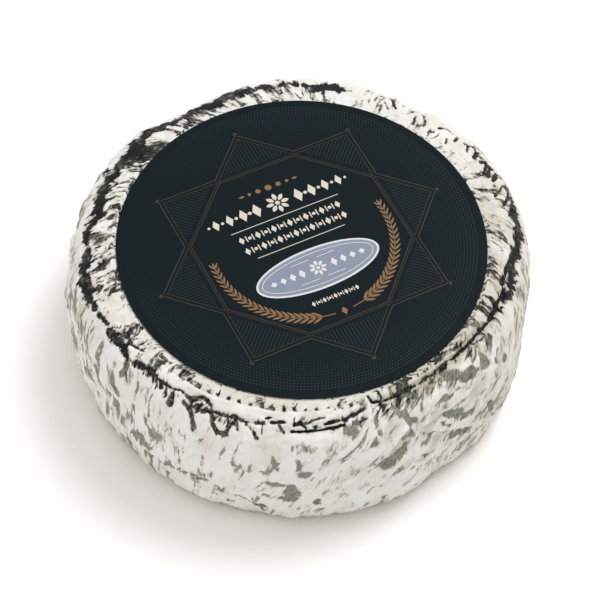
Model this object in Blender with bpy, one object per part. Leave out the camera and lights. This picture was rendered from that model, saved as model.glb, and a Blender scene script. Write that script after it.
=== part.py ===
"""A whole wheel of soft-ripened cheese with an ash and white-mould rind, and the round paper label on its top face.

The wheel stands on its flat base, with the origin at the middle of that base and +Z up. Angles are seen from above and
counted from +X towards +Y, so 270 degrees is the front. Lengths are in metres.
"""

import math

import bmesh
import bpy
from mathutils import Vector, noise

MM = 0.001

# The wheel's even form, before the rind's relief
HEIGHT = 54 * MM
SEAT_RADIUS = 66.5 * MM  # the flat face that the label lies on
WIDEST_RADIUS = 82.8 * MM
WIDEST_HEIGHT = 26 * MM
BASE_RADIUS = 75.5 * MM
SHOULDER_SQUARENESS = 3.0  # 2 is a round quarter, and more is squarer
FOOT_SQUARENESS = 2.8

# The label
LABEL_RADIUS = 65 * MM
LABEL_THICKNESS = 0.4 * MM
LABEL_GAP = 0.3 * MM
LABEL_SIDES = 160

# The mesh of the rind, from the seat's edge down to the base's edge
COLUMNS = 160
ROWS = 32
CURVE_STEPS = 400  # points that a curve is measured by

# Handling has left the wheel out of round: angle, half-width and height of each swell, in degrees and metres
SWELLS = (
    (146, 17, 1.2 * MM),
    (124, 14, -3.8 * MM),
    (104, 12, 1.0 * MM),
    (86, 12, 2.4 * MM),
    (38, 16, 2.2 * MM),
    (-8, 14, -1.8 * MM),
    (-29, 11, 0.5 * MM),
    (-47, 10, -2.3 * MM),
    (-84, 14, 0.7 * MM),
    (-112, 16, 1.4 * MM),
    (-140, 16, -0.6 * MM),
    (-170, 18, 0.7 * MM),
)

# The rind's relief: height of each kind of lump, and how wide and how long it is
LUMP_HEIGHT, LUMP_SIZE = 0.9 * MM, 24 * MM
FOLD_HEIGHT, FOLD_WIDTH, FOLD_LENGTH = 0.75 * MM, 9 * MM, 22 * MM
CRAG_HEIGHT, CRAG_SIZE = 1.1 * MM, 8.5 * MM
FOLD_LEAN = 0.35  # how far a fold leans sideways, as a share of its length

# The rim that the drained curd leaves round the top face, and the ragged band where it turns down
RIM_PLACE, RIM_HALF_WIDTH, RIM_HEIGHT = 6.5 * MM, 4.5 * MM, 0.4 * MM
CRAG_PLACE, CRAG_HALF_WIDTH = 12 * MM, 9 * MM

# How far from the seat and from the base the relief takes to reach its full height
SEAT_FADE = 2.5 * MM
FOOT_FADE = 7 * MM

# Each crease in the rind: half-width, depth (a ridge is below 0), and the angles and distances down from the seat's
# edge that it runs through
CREASES = (
    # the groove beside the label's edge, at the front right
    (1.9 * MM, 1.4 * MM, ((-71, 3.5), (-60, 2.8), (-45, 2.8), (-31, 3.4), (-22, 5), (-12, 6.5), (-3, 10))),
    # the pinched ridge that runs down from the label's front edge
    (1.8 * MM, -1.2 * MM, ((-70, 3), (-71.5, 10), (-74, 15.5), (-79, 20))),
    # the creases that meet in a star on the front right wall, and the ridge under them
    (2.4 * MM, 1.2 * MM, ((-61, 9), (-59, 19), (-64, 23), (-71, 34))),
    (2.4 * MM, 1.0 * MM, ((-54, 8), (-59, 19), (-52, 33))),
    (2.2 * MM, -0.9 * MM, ((-57, 26), (-64, 31), (-70, 39))),
    # the slit under the rim at the front
    (1.9 * MM, 1.2 * MM, ((-92, 9.3), (-85, 9.8), (-80, 9.5))),
    # the ledge low on the front right, and the lip low on the front left
    (2.6 * MM, 0.9 * MM, ((-66, 41), (-48, 48), (-30, 52))),
    (2.6 * MM, 1.1 * MM, ((-128, 47), (-121, 50), (-113, 48), (-105, 50), (-98, 58))),
)

RIND_COLOUR = (0.80, 0.79, 0.74, 1)
LABEL_COLOUR = (0.010, 0.016, 0.019, 1)


def smooth(value, low, high):
    """0 up to low, 1 from high on, and an even curve in between."""
    share = min(max((value - low) / (high - low), 0), 1)
    return share * share * (3 - 2 * share)


def bell(value, middle, half_width):
    """1 at the middle, falling off smoothly to about a third at the half-width."""
    return math.exp(-(((value - middle) / half_width) ** 2))


def superellipse_quarter(reach, rise, squareness, steps):
    """Points from straight above the centre, at rise, out to the side, at reach."""
    points = []
    for step in range(steps + 1):
        turn = math.pi / 2 * step / steps
        across = math.sin(turn) ** (2 / squareness)
        up = max(math.cos(turn), 0) ** (2 / squareness)
        points.append((reach * across, rise * up))
    return points


def even_points(curve, count):
    """count + 1 points spaced evenly along the curve, and its length."""
    travelled = [0]
    for (r0, z0), (r1, z1) in zip(curve, curve[1:]):
        travelled.append(travelled[-1] + math.hypot(r1 - r0, z1 - z0))
    length = travelled[-1]
    points = []
    place = 0
    for index in range(count + 1):
        wanted = length * index / count
        while place < len(curve) - 2 and travelled[place + 1] < wanted:
            place += 1
        share = (wanted - travelled[place]) / (travelled[place + 1] - travelled[place])
        (r0, z0), (r1, z1) = curve[place : place + 2]
        points.append((r0 + (r1 - r0) * share, z0 + (z1 - z0) * share))
    return points, length


def wall_outline():
    """The wheel's even outline from the seat's edge, over the shoulder and down the wall, to the base's edge."""
    shoulder = superellipse_quarter(
        WIDEST_RADIUS - SEAT_RADIUS, HEIGHT - WIDEST_HEIGHT, SHOULDER_SQUARENESS, CURVE_STEPS
    )
    foot = superellipse_quarter(WIDEST_RADIUS - BASE_RADIUS, WIDEST_HEIGHT, FOOT_SQUARENESS, CURVE_STEPS)
    upper = [(SEAT_RADIUS + across, WIDEST_HEIGHT + up) for across, up in shoulder]
    lower = [(BASE_RADIUS + across, WIDEST_HEIGHT - up) for across, up in reversed(foot)]
    return even_points(upper + lower[1:], ROWS)


def outward(points, index):
    """The direction, in radius and height, that is square to the outline at one of its points."""
    r0, z0 = points[max(index - 1, 0)]
    r1, z1 = points[min(index + 1, len(points) - 1)]
    length = math.hypot(r1 - r0, z1 - z0)
    return (z0 - z1) / length, (r1 - r0) / length


def turn_between(angle, other):
    """The angle from other to angle, in degrees, from -180 to 180."""
    return (angle - other + 180) % 360 - 180


def out_of_round(angle):
    """How far the wheel is swollen at this angle, in metres."""
    return sum(height * bell(turn_between(angle, place), 0, width) for place, width, height in SWELLS)


def on_drum(angle, drop, width, length):
    """A place on the wall for reading noise, so that its lumps have this width and length and meet all round."""
    turn = math.radians(angle) + FOLD_LEAN * drop / WIDEST_RADIUS
    around = WIDEST_RADIUS / width
    return Vector((math.cos(turn) * around, math.sin(turn) * around, drop / length))


def crease_depth(angle, drop):
    """How deep the creases are here, in metres. A ridge counts as below 0."""
    total = 0
    for half_width, depth, route in CREASES:
        nearest = None
        for (a0, d0), (a1, d1) in zip(route, route[1:]):
            here = Vector((math.radians(turn_between(angle, a0)) * WIDEST_RADIUS, drop - d0 * MM))
            run = Vector((math.radians(a1 - a0) * WIDEST_RADIUS, (d1 - d0) * MM))
            share = min(max(here.dot(run) / run.length_squared, 0), 1)
            away = (here - run * share).length
            nearest = away if nearest is None else min(nearest, away)
        total += depth * bell(nearest, 0, half_width)
    return total


def relief(angle, drop, length):
    """How far the rind stands out from the even outline at this angle and distance down from the seat's edge."""
    on_wall = smooth(drop, 8 * MM, 22 * MM)
    lumps = LUMP_HEIGHT * (0.35 + 0.65 * on_wall) * noise.noise(on_drum(angle, drop, LUMP_SIZE, LUMP_SIZE))
    folds = FOLD_HEIGHT * (0.3 + 0.7 * on_wall) * noise.noise(on_drum(angle, drop, FOLD_WIDTH, FOLD_LENGTH))
    crags = CRAG_HEIGHT * bell(drop, CRAG_PLACE, CRAG_HALF_WIDTH)
    crags *= noise.noise(on_drum(angle, drop, CRAG_SIZE, CRAG_SIZE))
    rim = RIM_HEIGHT * bell(drop, RIM_PLACE, RIM_HALF_WIDTH)
    total = lumps + folds + crags + rim - crease_depth(angle, drop)
    return total * smooth(drop, 0, SEAT_FADE) * smooth(length - drop, 0, FOOT_FADE)


def rind_rings():
    """The rings of points round the wheel, from the seat's edge down to the base's edge."""
    outline, length = wall_outline()
    rings = []
    for row, (radius, height) in enumerate(outline):
        drop = length * row / ROWS
        out_r, out_z = outward(outline, row)
        share_out = (radius - SEAT_RADIUS) / (WIDEST_RADIUS - SEAT_RADIUS)
        ring = []
        for column in range(COLUMNS):
            angle = 360 * column / COLUMNS
            stands_out = relief(angle, drop, length)
            here_r = radius + out_of_round(angle) * share_out + out_r * stands_out
            here_z = height + out_z * stands_out
            turn = math.radians(angle)
            ring.append(Vector((here_r * math.cos(turn), here_r * math.sin(turn), here_z)))
        rings.append(ring)
    return rings


def new_object(name, mesh, material):
    """An object in the scene with this mesh and material, shaded smooth except over sharp edges."""
    thing = bpy.data.objects.new(name, mesh)
    bpy.context.scene.collection.objects.link(thing)
    mesh.materials.append(material)
    mesh.shade_smooth()
    mesh.set_sharp_from_angle(angle=math.radians(50))
    return thing


def plain_material(name, colour, roughness):
    material = bpy.data.materials.new(name)
    material.use_nodes = True
    shader = material.node_tree.nodes["Principled BSDF"]
    shader.inputs["Base Color"].default_value = colour
    shader.inputs["Roughness"].default_value = roughness
    shader.inputs["Metallic"].default_value = 0
    return material


def make_wheel():
    """The cheese: a flat seat, the rind with its relief, and a flat base, as one closed solid."""
    shape = bmesh.new()
    rings = [[shape.verts.new(point) for point in ring] for ring in rind_rings()]
    for upper, lower in zip(rings, rings[1:]):
        for column in range(COLUMNS):
            after = (column + 1) % COLUMNS
            shape.faces.new((upper[column], lower[column], lower[after], upper[after]))
    shape.faces.new(rings[0])
    shape.faces.new(reversed(rings[-1]))
    mesh = bpy.data.meshes.new("wheel")
    shape.to_mesh(mesh)
    shape.free()
    return new_object("wheel", mesh, plain_material("bloomy rind", RIND_COLOUR, 0.7))


def make_label():
    """The label: a flat disc of card, a hair above the seat."""
    shape = bmesh.new()
    bmesh.ops.create_cone(
        shape,
        cap_ends=True,
        segments=LABEL_SIDES,
        radius1=LABEL_RADIUS,
        radius2=LABEL_RADIUS,
        depth=LABEL_THICKNESS,
    )
    mesh = bpy.data.meshes.new("label")
    shape.to_mesh(mesh)
    shape.free()
    label = new_object("label", mesh, plain_material("printed card", LABEL_COLOUR, 0.45))
    label.location.z = HEIGHT + LABEL_GAP + LABEL_THICKNESS / 2
    return label


def main():
    for thing in list(bpy.data.objects):
        bpy.data.objects.remove(thing)
    make_wheel()
    make_label()


main()
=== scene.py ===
"""The look of a whole soft-ripened cheese: its rind of ash and white mould, and its printed paper label.

Angles are seen from above and counted from +X towards +Y, so 270 or -90 degrees is the front. A place on the
rind is an angle and a drop, the distance down the rind from the seat's edge. Lengths are in metres.
"""

import math

import bmesh
import bpy
import numpy as np
from mathutils import Matrix, Vector, noise

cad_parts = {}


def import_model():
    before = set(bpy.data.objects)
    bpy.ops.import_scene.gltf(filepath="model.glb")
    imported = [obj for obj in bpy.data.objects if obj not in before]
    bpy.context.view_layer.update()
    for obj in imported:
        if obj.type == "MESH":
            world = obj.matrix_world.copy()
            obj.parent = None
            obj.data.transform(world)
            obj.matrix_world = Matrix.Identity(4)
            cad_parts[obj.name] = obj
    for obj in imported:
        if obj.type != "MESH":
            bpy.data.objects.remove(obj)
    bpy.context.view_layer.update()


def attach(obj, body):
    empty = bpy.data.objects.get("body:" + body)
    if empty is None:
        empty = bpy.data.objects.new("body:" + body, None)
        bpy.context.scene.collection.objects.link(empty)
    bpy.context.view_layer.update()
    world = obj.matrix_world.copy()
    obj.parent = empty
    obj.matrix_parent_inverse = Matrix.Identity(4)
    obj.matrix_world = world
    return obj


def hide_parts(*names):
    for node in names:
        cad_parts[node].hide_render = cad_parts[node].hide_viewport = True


MM = 0.001

# The wheel's even form, as in the solids
HEIGHT = 54 * MM
SEAT_RADIUS = 66.5 * MM
WIDEST_RADIUS = 82.8 * MM
WIDEST_HEIGHT = 26 * MM
BASE_RADIUS = 75.5 * MM
SHOULDER_SQUARENESS = 3.0
FOOT_SQUARENESS = 2.8

# What makes it out of round: angle and half-width in degrees, and how far each swell stands out
SWELLS = (
    (146, 17, 1.2 * MM),
    (124, 14, -3.8 * MM),
    (104, 12, 1.0 * MM),
    (86, 12, 2.4 * MM),
    (38, 16, 2.2 * MM),
    (-8, 14, -1.8 * MM),
    (-29, 11, 0.5 * MM),
    (-47, 10, -2.3 * MM),
    (-84, 14, 0.7 * MM),
    (-112, 16, 1.4 * MM),
    (-140, 16, -0.6 * MM),
    (-170, 18, 0.7 * MM),
)

# The rind's large relief, as in the solids
LUMP_HEIGHT, LUMP_SIZE = 0.9 * MM, 24 * MM
FOLD_HEIGHT, FOLD_WIDTH, FOLD_LENGTH = 0.75 * MM, 9 * MM, 22 * MM
CRAG_HEIGHT, CRAG_SIZE = 1.1 * MM, 8.5 * MM
FOLD_LEAN = 0.35  # how far the relief leans sideways, as a share of the way down
RIM_PLACE, RIM_HALF_WIDTH, RIM_HEIGHT = 6.5 * MM, 4.5 * MM, 0.4 * MM
CRAG_PLACE, CRAG_HALF_WIDTH = 12 * MM, 9 * MM
SEAT_FADE, FOOT_FADE = 2.5 * MM, 7 * MM  # the relief fades out this near the seat and the foot

# Creases: half-width, depth (a ridge's is less than 0), and the angles and drops in mm that they run through
CREASES = (
    # the groove beside the label's edge, at the front right
    (1.9 * MM, 1.4 * MM, ((-71, 3.5), (-60, 2.8), (-45, 2.8), (-31, 3.4), (-22, 5), (-12, 6.5), (-3, 10))),
    # the pinched ridge that runs down from the label's front edge
    (1.8 * MM, -1.2 * MM, ((-70, 3), (-71.5, 10), (-74, 15.5), (-79, 20))),
    # the creases that meet in a star on the front right wall, and the ridge under them
    (2.4 * MM, 1.2 * MM, ((-61, 9), (-59, 19), (-64, 23), (-71, 34))),
    (2.4 * MM, 1.0 * MM, ((-54, 8), (-59, 19), (-52, 33))),
    (2.2 * MM, -0.9 * MM, ((-57, 26), (-64, 31), (-70, 39))),
    # the slit under the rim at the front
    (1.9 * MM, 1.2 * MM, ((-92, 9.3), (-85, 9.8), (-80, 9.5))),
    # the ledge low on the front right, and the lip low on the front left
    (2.6 * MM, 0.9 * MM, ((-66, 41), (-48, 48), (-30, 52))),
    (2.6 * MM, 1.1 * MM, ((-128, 47), (-121, 50), (-113, 48), (-105, 50), (-98, 58))),
)

# The rind's fine relief, which only the scene has
WRINKLE_HEIGHT, WRINKLE_WIDTH, WRINKLE_LENGTH = 0.6 * MM, 3.2 * MM, 7 * MM
GRAIN_HEIGHT, GRAIN_SIZE = 0.35 * MM, 1.9 * MM
ASH_SINK = 0.35 * MM  # how much lower the rind is where no mould has grown
PAD_HEIGHT, PAD_PITCH, PAD_BAND = 0.25 * MM, 3.6 * MM, 3.5 * MM  # the print of the drainage mat
STROKE_DEPTH, RIDGE_HEIGHT = 0.6 * MM, 0.5 * MM
COLUMNS, ROWS = 720, 130  # of the fine mesh's points

# The mould's marks: their sizes, across twice and down, and how much each moves a bare patch's edge
STREAK_SIZE = (3 * MM, 3 * MM, 9 * MM)
RAG_SIZE = (3 * MM, 3 * MM, 4.5 * MM)
CRACK_SIZE = (5 * MM, 5 * MM, 7 * MM)
BLOTCH_SIZE, FLECK_SIZE, CLOUD_SIZE = 8 * MM, 1.1 * MM, 12 * MM
STREAKS_MOVE, BLOTCHES_MOVE, FLECKS_MOVE, CRACKS_MOVE = 1.6, 1.0, 0.3, 0.11
MOVED_ON_AVERAGE = 1.47
STREAK_LEAN = 0.8  # streaks lean towards the front right, most on the top face
STREAK_WANDER = 4 * MM  # how far their lines swing from side to side

# The ash's edges: how far they stray from the even shapes below
RING_STRAY, RING_FINE_STRAY = 2.2 * MM, 1.4 * MM
RING_SOFTNESS = 1.25  # the ring fades out over this many of its half-widths
STROKE_STRAY = 0.5 * MM
PATCH_STRAY = 1.6 * MM

# Where the mould differs round the wheel: the middle in degrees, and the half-width of the change
MAT_PRINT_ASH, MAT_PRINT_BEIGE = (-102, 30), (-102, 26)
# painted shade greys the mould at the right side, beside the crevice, and in the crinkles at the front right
PAINTED_CRINKLE_SHADE_FRONT_RIGHT, PAINTED_SHADE_AT_CREVICE, PAINTED_SHADE_RIGHT = (-52, 30), (-42, 20), (5, 45)
RAGGED_FRONT_RIGHT = (-48, 30)
CLEAN_BACK = (70, 45)

# Where the ash shows as a ragged dark ring: angle, drop and half-width in mm, and how much of it shows
RING = (
    (180, 9.4, 1.8, 0.8),
    (174, 7.8, 2.9, 0.9),
    (167, 7.2, 2.6, 0.86),
    (157, 7.3, 3.0, 0.95),
    (147, 7, 3.0, 0.92),
    (136, 7.5, 2.8, 0.86),
    (128, 7, 2.8, 0.86),
    (116, 6.5, 3.0, 0.9),
    (104, 6.8, 2.7, 0.85),
    (97, 7, 1.7, 0.5),
    (90, 6.2, 2.1, 0.85),
    (81, 5.5, 2.4, 0.9),
    (76, 6, 1.3, 0.2),
    (60, 7, 1.4, 0.3),
    (48, 8.5, 1.4, 0.32),
    (34, 10.5, 1.6, 0.44),
    (22, 13, 2.2, 0.6),
    (12, 13.3, 2.6, 0.82),
    (3, 11.3, 3.0, 0.88),
    (-6, 8.5, 2.7, 0.9),
    (-14, 8, 2.2, 0.75),
    (-21, 6, 1.5, 0.5),
    (-32, 5, 1.5, 0.4),
    (-50, 4, 1.7, 0.4),
    (-70, 4, 1.5, 0.45),
    (-79, 8, 1.5, 0.5),
    (-88, 8.5, 1.2, 0.22),
    (-96, 7.3, 1.2, 0.28),
    (-103, 8, 1.8, 0.5),
    (-110, 8.5, 2.0, 0.52),
    (-118, 8.2, 2.1, 0.54),
    (-126, 8.2, 2.0, 0.66),
    (-133, 7.9, 1.6, 0.75),
    (-139, 9.7, 1.5, 0.8),
    (-147, 9, 1.3, 0.7),
    (-155, 9.8, 1.5, 0.72),
    (-162, 10.5, 2.1, 0.84),
    (-170, 10, 2.0, 0.82),
)

# Strokes of ash, and of painted shade in the creases: how much shows, how black it is, half-width in mm, and
# the angles and drops in mm that it runs through
STROKES = (
    # the drips at the front left, and the wavy line that they hang from
    (0.9, 0.85, 1.0, ((-136.5, 8.9), (-133, 7.6), (-127, 7.8), (-124, 7.6), (-121.5, 6.7), (-118, 7.2))),
    (0.85, 0.5, 1.2, ((-138.5, 11), (-137.5, 14), (-136, 17))),
    (0.9, 0.75, 1.1, ((-123.5, 7.2), (-122, 12.1))),
    (0.85, 0.65, 1.15, ((-119.5, 9.4), (-116.5, 11.2), (-114.5, 15))),
    (0.85, 0.85, 1.1, ((-118, 7.2), (-115.5, 4.4), (-112, 6.7), (-110.5, 10.5))),
    (
        0.85,
        0.7,
        0.95,
        ((-111.5, 8.5), (-110.5, 12), (-108.8, 14.7), (-106.5, 14.4), (-106.3, 11), (-107.5, 7.6)),
    ),
    (0.85, 0.8, 1.05, ((-114, 9.6), (-111, 7.8), (-108, 8), (-105, 7.6), (-102.5, 8.5), (-98, 7.8))),
    (0.85, 0.6, 0.8, ((-105, 7.6), (-104, 11.6))),
    (0.85, 0.75, 0.95, ((-102.5, 8.7), (-100.5, 10.5), (-99, 13))),
    # squiggles between the ring and the label, on the left
    (0.8, 0.7, 0.7, ((-144.5, 4.9), (-141, 5.6), (-137, 4))),
    (0.8, 0.6, 0.9, ((-133, 1.3), (-129, 0.9))),
    (0.75, 0.7, 0.6, ((-149, 3), (-147, 5.5), (-149, 8))),
    (0.75, 0.6, 0.6, ((-160, 2.5), (-157, 4.5), (-158, 7))),
    # the slits and small marks at the front, and painted shade under the pinched ridge
    (1.0, 1.0, 0.6, ((-90.5, 9.8), (-85.5, 9.5), (-77.5, 8.5))),
    (0.85, 0.9, 1.0, ((-85, 8.4), (-81, 7.4), (-78, 7), (-72.5, 5), (-70.5, 3.4))),
    (0.8, 0.8, 0.5, ((-97.5, 6.3), (-96, 5.8))),
    (0.9, 0.9, 0.7, ((-96, 7.4), (-94.5, 7.2), (-92.5, 6.8))),
    (0.75, 0.4, 0.5, ((-94, 8), (-92.5, 10.3))),
    (0.7, 0.3, 0.5, ((-98, 8.9), (-98, 11.2))),
    (0.95, 1.0, 0.7, ((-90, 8), (-88.5, 7.2), (-87, 8.5))),
    (0.8, 0.6, 0.5, ((-87.5, 7.2), (-84, 5.8), (-82, 5.6))),
    (1.0, 1.0, 0.8, ((-69, 0.3), (-68.3, 2.2), (-66.5, 3.4))),
    (0.5, 0.1, 1.3, ((-71.8, 11), (-75, 16), (-79, 21))),
    # the crevice beside the label, from the front round to the right: its ash, and painted shade that
    # blackens the crevice
    (0.8, 0.75, 0.8, ((-67, 3.2), (-60, 2.6), (-52, 2.6), (-44, 2.6), (-37, 2.8))),
    (1.0, 1.0, 1.0, ((-41, 2.7), (-37, 2.8), (-30, 3.3), (-24, 4.8), (-18, 5.4), (-12, 6.8))),
    (0.65, 0.9, 0.6, ((-48, 0.9), (-40, 1.0), (-33, 1.7), (-28, 2.8))),
    # painted shade in the creases of the star beside their ridges, and along the lip low on the front left
    (0.5, 0.2, 0.8, ((-58.5, 20.5), (-54, 21.3), (-48, 21))),
    (0.5, 0.2, 0.7, ((-58, 22.5), (-50, 31.5), (-42, 40))),
    (0.72, 0.15, 0.7, ((-126.5, 48.3), (-122.5, 46), (-119, 42.5))),
    (0.68, 0.1, 0.6, ((-117.5, 44.2), (-113.5, 40.5), (-108.5, 41.5), (-105.5, 48.3))),
    (0.72, 0.3, 0.6, ((-106, 49.6), (-102.5, 48), (-98.5, 49.5), (-96.5, 56))),
    # the combs of short marks along the shoulder, from the back round to the right
    (0.7, 0.4, 0.6, ((70, 4.5), (69.5, 7.2), (67.5, 8.2))),
    (0.85, 0.8, 0.6, ((65.5, 8.5), (63, 4.5))),
    (0.75, 0.6, 0.6, ((66.5, 5.8), (65, 3))),
    (0.8, 0.6, 0.6, ((59, 4.9), (58.5, 8.5), (56, 8.5), (53.5, 5.8), (52.5, 3.8))),
    (0.8, 0.7, 0.6, ((56.5, 5), (55.5, 2))),
    (0.85, 0.7, 0.6, ((49.5, 1.5), (50, 3.1), (49, 4))),
    (0.95, 0.95, 0.7, ((49, 6.5), (48.5, 8.5), (47, 9.4), (44, 9.6))),
    (0.75, 0.6, 0.6, ((44.5, 5), (43.5, 3))),
    (0.9, 0.85, 0.7, ((43.5, 9.4), (42.5, 6))),
    (0.95, 0.95, 0.8, ((40.5, 8.5), (40, 9.8), (38.5, 10.7), (36.5, 12))),
    (0.9, 0.9, 0.75, ((40, 10), (37.5, 6.3))),
    (0.95, 1.0, 1.0, ((37.3, 11), (34.8, 7))),
    (0.9, 1.0, 0.8, ((32.5, 8), (33, 11.2), (30, 11.6), (28, 13), (26.5, 14.5), (22, 15.5))),
    (0.95, 0.95, 0.85, ((32, 10.3), (28.5, 6.5))),
    (0.95, 1.0, 1.0, ((30.5, 11), (27.5, 7))),
    (0.95, 1.0, 0.9, ((28, 11.5), (25.5, 8))),
    (0.8, 0.8, 0.7, ((23.5, 11), (20, 6))),
    (0.85, 0.9, 0.8, ((22, 14), (17, 8))),
    (0.9, 0.95, 0.9, ((20, 15.5), (13.5, 9.5))),
    (0.9, 0.95, 0.9, ((16.5, 16), (11, 11))),
    (0.95, 1.0, 1.3, ((9, 10), (10, 13), (5, 11.5), (0.5, 8.5), (-6, 6.2), (-11, 5.2))),
)

# Thin ridges, where the rind is pinched up, with their mould kept white as a painted highlight along them:
# half-width in mm, and the angles and drops in mm that they run through
RIDGES = (
    (0.6, ((-69.7, 0.3), (-70, 4.5), (-70.8, 8), (-72.8, 11.2), (-76, 15.6), (-79.5, 20.1))),
    (0.9, ((-120, 4.4), (-105, 3.9), (-90, 4.1), (-80, 3.4))),
    (0.6, ((-91, 8.7), (-85, 8.5), (-78, 7.5))),
    (0.6, ((-85, 7), (-78, 5.1), (-73, 3.2))),
    (0.6, ((-56, 1.5), (-44, 1.6), (-38, 1.9))),
    (0.7, ((-59, 18.5), (-60, 22), (-62.5, 26), (-68, 33))),
    (0.6, ((-59, 18.5), (-56.5, 14.7), (-54, 11.6))),
    (0.6, ((-59, 18.7), (-52, 19), (-45.5, 19.2), (-39, 18))),
    (0.6, ((-58.5, 20), (-48.5, 31), (-38, 42))),
    (0.7, ((-125, 46), (-119, 48.5), (-113, 47))),
)

# Bare patches: angle, drop, half-width and half-length in mm, lean in degrees, how much shows, and how black
# it is. A patch that leans more than 0 has its lower end to the right.
PATCHES = (
    (-137.5, 14, 1.2, 3.4, 10, 0.85, 0.2),
    (-122.5, 11.5, 1.1, 2.2, 25, 0.85, 0.6),
    (-114.8, 15, 1.1, 1.5, 0, 0.9, 0.5),
    (-107.5, 14.8, 1.2, 1.2, 0, 0.9, 0.5),
    (-139.5, 23, 1.1, 4.2, 20, 0.8, 0.1),
    (-131.5, 24.5, 1.1, 3.0, 15, 0.75, 0),
    (-126, 32, 1.0, 3.8, 40, 0.75, 0),
    (-133, 52, 0.9, 4.5, 50, 0.7, 0.1),
    (-133, 32, 1.5, 5.5, -8, 0.7, 0),
    (-128, 41, 2.0, 4.5, 15, 0.75, 0),
    (-139, 36, 2.0, 4.0, 10, 0.7, 0),
    (-147, 27, 1.4, 6.0, 8, 0.65, 0.1),
    (-152, 36, 1.4, 5.0, 8, 0.65, 0.1),
    (-121, 50, 3.2, 1.2, 60, 0.75, 0.2),
    (-111, 41, 3.0, 1.1, 20, 0.65, 0.1),
    (-107, 48, 1.1, 4.0, 25, 0.75, 0.2),
    (-105, 54, 1.8, 1.1, 0, 0.75, 0.3),
    (-97.5, 50.5, 2.2, 1.2, 0, 0.85, 0.4),
    (-88, 15.5, 4.5, 2.2, 15, 0.6, 0),
    (-94, 23, 1.2, 3.8, 20, 0.75, 0),
    (-97, 29, 1.8, 1.0, 0, 0.65, 0),
    (-89, 22.5, 1.0, 3.2, 15, 0.8, 0.05),
    (-87, 28, 2.6, 2.2, 0, 0.85, 0.05),
    (-94, 34.5, 4.2, 1.2, 0, 0.8, 0),
    (-90, 38.5, 2.6, 4.0, 0, 0.9, 0.05),
    (-91, 43.5, 3.6, 1.8, 0, 0.85, 0.1),
    (-96, 42, 1.0, 2.5, 0, 0.75, 0.1),
    (-84, 46, 1.3, 2.2, 0, 0.75, 0.2),
    (-76, 11.5, 2.2, 3.0, 30, 0.7, 0),
    (-70.3, 17, 1.7, 2.2, 0, 0.85, 0.05),
    (-69, 12, 1.0, 3.5, 5, 0.65, 0),
    (-60.8, 13.2, 1.4, 5.4, 36, 0.92, 0.05),
    (-56.8, 13.4, 1.1, 3.4, -8, 0.7, 0),
    (-61.2, 20.8, 1.5, 2.6, 85, 0.85, 0),
    (-65.5, 27.5, 1.9, 9.5, -62, 0.95, 0.05),
    (-56, 27.5, 1.6, 4.6, 70, 0.8, 0),
    (-58.2, 5.6, 1.6, 3.0, 64, 0.85, 0.4),
    (-43, 10, 2.6, 7.0, 64, 0.95, 0.25),
    (-45.5, 9.5, 2.2, 3.5, -30, 0.8, 0.1),
    (-35, 11, 1.3, 4.0, -14, 0.85, 0.1),
    (-48.2, 14.5, 1.2, 6.5, 86, 0.8, 0.1),
    (-48.2, 23, 1.7, 6.5, 62, 0.85, 0.1),
    (-43.8, 29, 2.2, 3.8, 85, 0.8, 0.1),
    (-34.2, 38.7, 1.3, 9.0, 20, 0.8, 0.2),
    (-50, 27, 0.9, 4.5, 45, 0.7, 0.2),
    (-45.2, 39.1, 1.5, 6.6, 58, 0.85, 0.2),
    (-56.2, 35.3, 0.8, 4.0, 56, 0.7, 0.1),
    (-60.8, 39.5, 0.9, 1.5, -58, 0.7, 0.1),
    (-57.2, 43.6, 0.9, 2.0, -44, 0.7, 0.1),
    (-38, 1.6, 1.1, 3.6, 80, 0.85, 0.5),
    (-27, 2.2, 1.2, 3.0, 70, 0.8, 0.3),
    (-32.8, 4.7, 1.2, 2.8, 75, 0.8, 0.7),
    (-30.2, 7.8, 1.1, 2.6, -49, 0.8, 0.5),
    (-31.8, 15.4, 0.9, 2.0, 13, 0.75, 0.1),
    (-28.5, 18, 0.9, 1.8, -39, 0.75, 0.1),
    (-24.2, 17.2, 0.9, 1.8, -70, 0.75, 0.1),
    (-28.2, 30.6, 1.0, 2.2, -13, 0.75, 0.1),
    (-11, 16, 3.2, 4.2, 0, 0.62, 0.2),
)

# How much ash shows through the mould elsewhere on the wall: angle, and share
THIN_MOULD = (
    (-165, 0.34),
    (-150, 0.38),
    (-133, 0.35),
    (-122, 0.29),
    (-112, 0.23),
    (-98, 0.20),
    (-88, 0.24),
    (-72, 0.25),
    (-55, 0.30),
    (-35, 0.37),
    (-15, 0.35),
    (60, 0.30),
    (95, 0.36),
    (125, 0.26),
    (150, 0.34),
    (195, 0.36),
)

# How much ash shows through the mould on top, beside the label: angle, and share
THIN_ON_TOP = (
    (-160, 0.44),
    (-147, 0.28),
    (-137, 0.42),
    (-125, 0.42),
    (-105, 0.24),
    (-85, 0.18),
    (-68, 0.40),
    (-50, 0.52),
    (-35, 0.52),
    (-20, 0.44),
    (5, 0.36),
    (35, 0.28),
    (50, 0.20),
    (75, 0.26),
    (95, 0.38),
    (120, 0.48),
    (150, 0.50),
    (180, 0.38),
)

# The label and its print
LABEL_RADIUS = 65 * MM
LABEL_BOTTOM = HEIGHT + 0.3 * MM
LABEL_THICKNESS = 0.4 * MM
LABEL_EDGE_ROUNDING = 0.12 * MM
PRINT_TURN = 28.7  # degrees that the print is turned by on the wheel
INK_STEP = 0.03 * MM  # each layer of ink lies this much above the one below

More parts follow.
